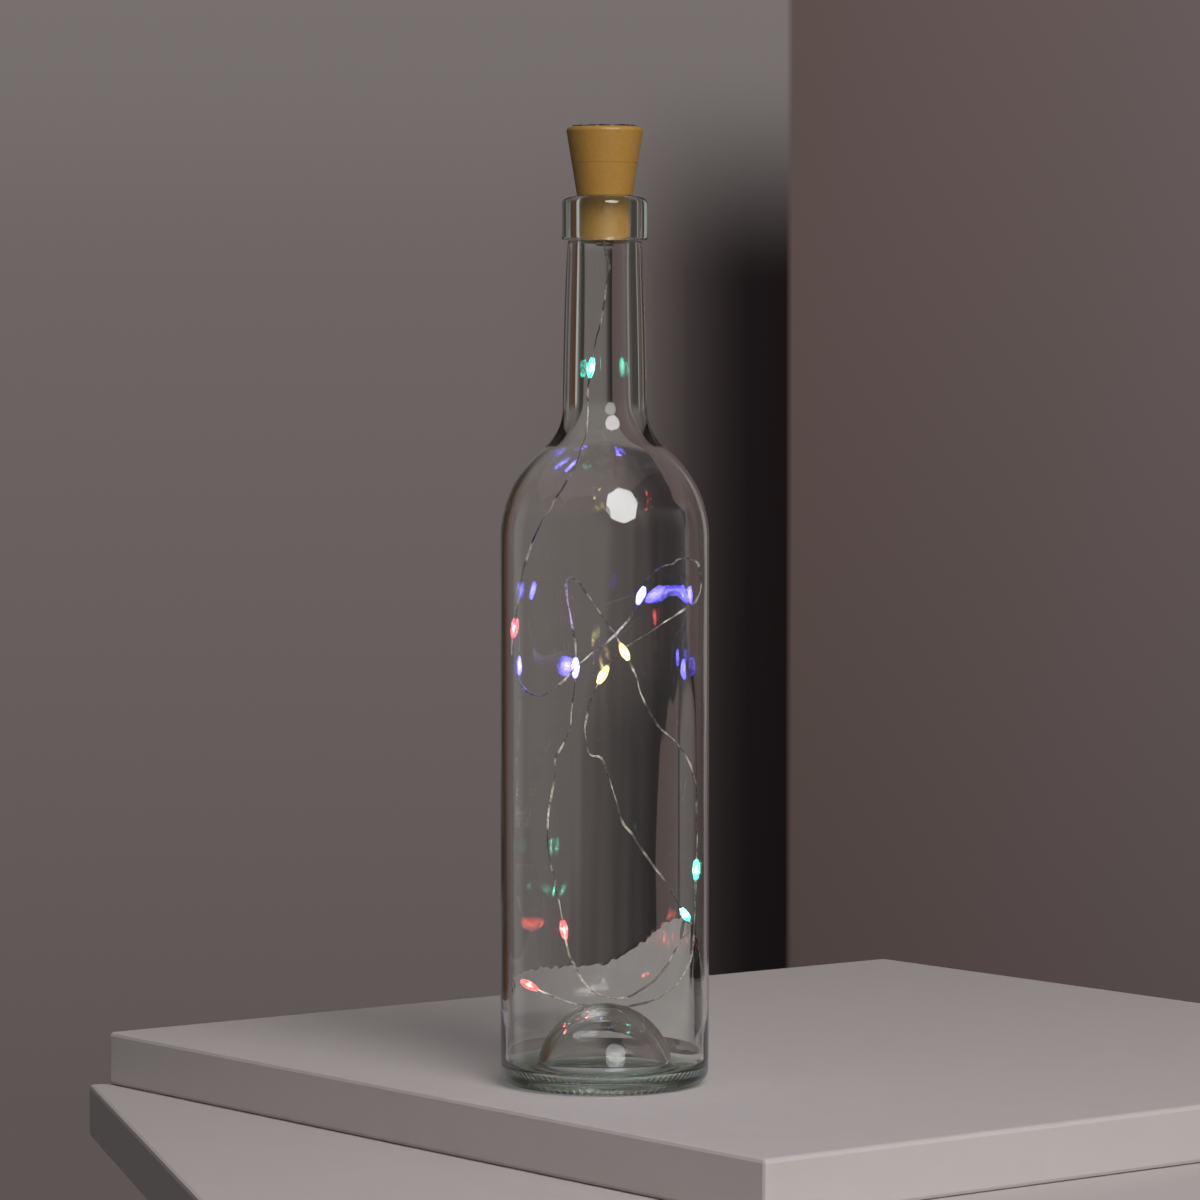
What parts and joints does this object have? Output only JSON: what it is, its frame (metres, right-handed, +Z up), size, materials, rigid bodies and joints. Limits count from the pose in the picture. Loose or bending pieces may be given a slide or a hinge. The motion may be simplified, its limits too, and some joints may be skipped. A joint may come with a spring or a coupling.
{
  "type": "cork bottle light",
  "caption": "Clear wine bottle closed by a cork-shaped solar stopper, with a string of coloured lights on fine wire looped inside it.",
  "frame": {"origin": "middle of the bottle's bearing ring, on the surface it stands on", "axes": "+Z up along the bottle's axis, -Y towards the picture's viewer, +X to the viewer's right"},
  "size_m": [0.075, 0.075, 0.3444],
  "materials": {
    "clear_glass": "clear, polished, faint green where thick",
    "cork_tan": "satin moulded plastic in a cork colour",
    "panel_dark": "dark solar cells",
    "panel_resin": "clear poured resin",
    "board_green": "solder mask",
    "chip_black": "moulded",
    "ferrite_grey": "ferrite",
    "cell_steel": "plated",
    "cell_wrap": "shrunk film",
    "contact_nickel": "plated",
    "knob_black": "moulded",
    "gland_clear": "clear soft plastic",
    "lead_red": "insulated",
    "lead_black": "insulated",
    "wire_silver": "enamelled fine wire",
    "bead_green": "resin drop, lit",
    "bead_red": "resin drop, lit",
    "bead_blue": "resin drop, lit",
    "bead_yellow": "resin drop, lit",
    "light_green": "lit",
    "light_red": "lit",
    "light_blue": "lit",
    "light_yellow": "lit"
  },
  "bodies": {
    "bottle": {"bottle": "clear_glass"},
    "stopper": {"stopper_body": "cork_tan", "head_cap": "cork_tan", "solar_panel": "panel_dark", "panel_resin": "panel_resin", "circuit_board": "board_green", "driver_chip": "chip_black", "inductor": "ferrite_grey", "battery_cell": "cell_steel", "battery_sleeve": "cell_wrap", "battery_tab_top": "contact_nickel", "battery_tab_bottom": "contact_nickel", "switch_housing": "contact_nickel", "wire_gland": "gland_clear", "panel_leads": "lead_red", "switch_leads": "lead_black", "string_lead": "wire_silver", "wire_01": "wire_silver", "wire_02": "wire_silver", "wire_03": "wire_silver", "wire_04": "wire_silver", "wire_05": "wire_silver", "wire_06": "wire_silver", "wire_07": "wire_silver", "wire_08": "wire_silver", "wire_09": "wire_silver", "wire_10": "wire_silver", "bead_01_green": "bead_green", "bead_02_red": "bead_red", "bead_03_blue": "bead_blue", "bead_04_yellow": "bead_yellow", "bead_05_green": "bead_green", "bead_06_red": "bead_red", "bead_07_blue": "bead_blue", "bead_08_yellow": "bead_yellow", "bead_09_green": "bead_green", "bead_10_red": "bead_red", "chips_green": "light_green", "chips_red": "light_red", "chips_blue": "light_blue", "chips_yellow": "light_yellow"},
    "switch_slider": {"switch_knob": "knob_black"}
  },
  "joints": [
    {"name": "cork_lift", "type": "slide", "parent": "bottle", "child": "stopper", "axis": [0, 0, 1], "range_m": [0, 0.016]},
    {"name": "switch_slide", "type": "slide", "parent": "stopper", "child": "switch_slider", "axis": [1, 0, 0], "range_m": [0, 0.002]}
  ]
}
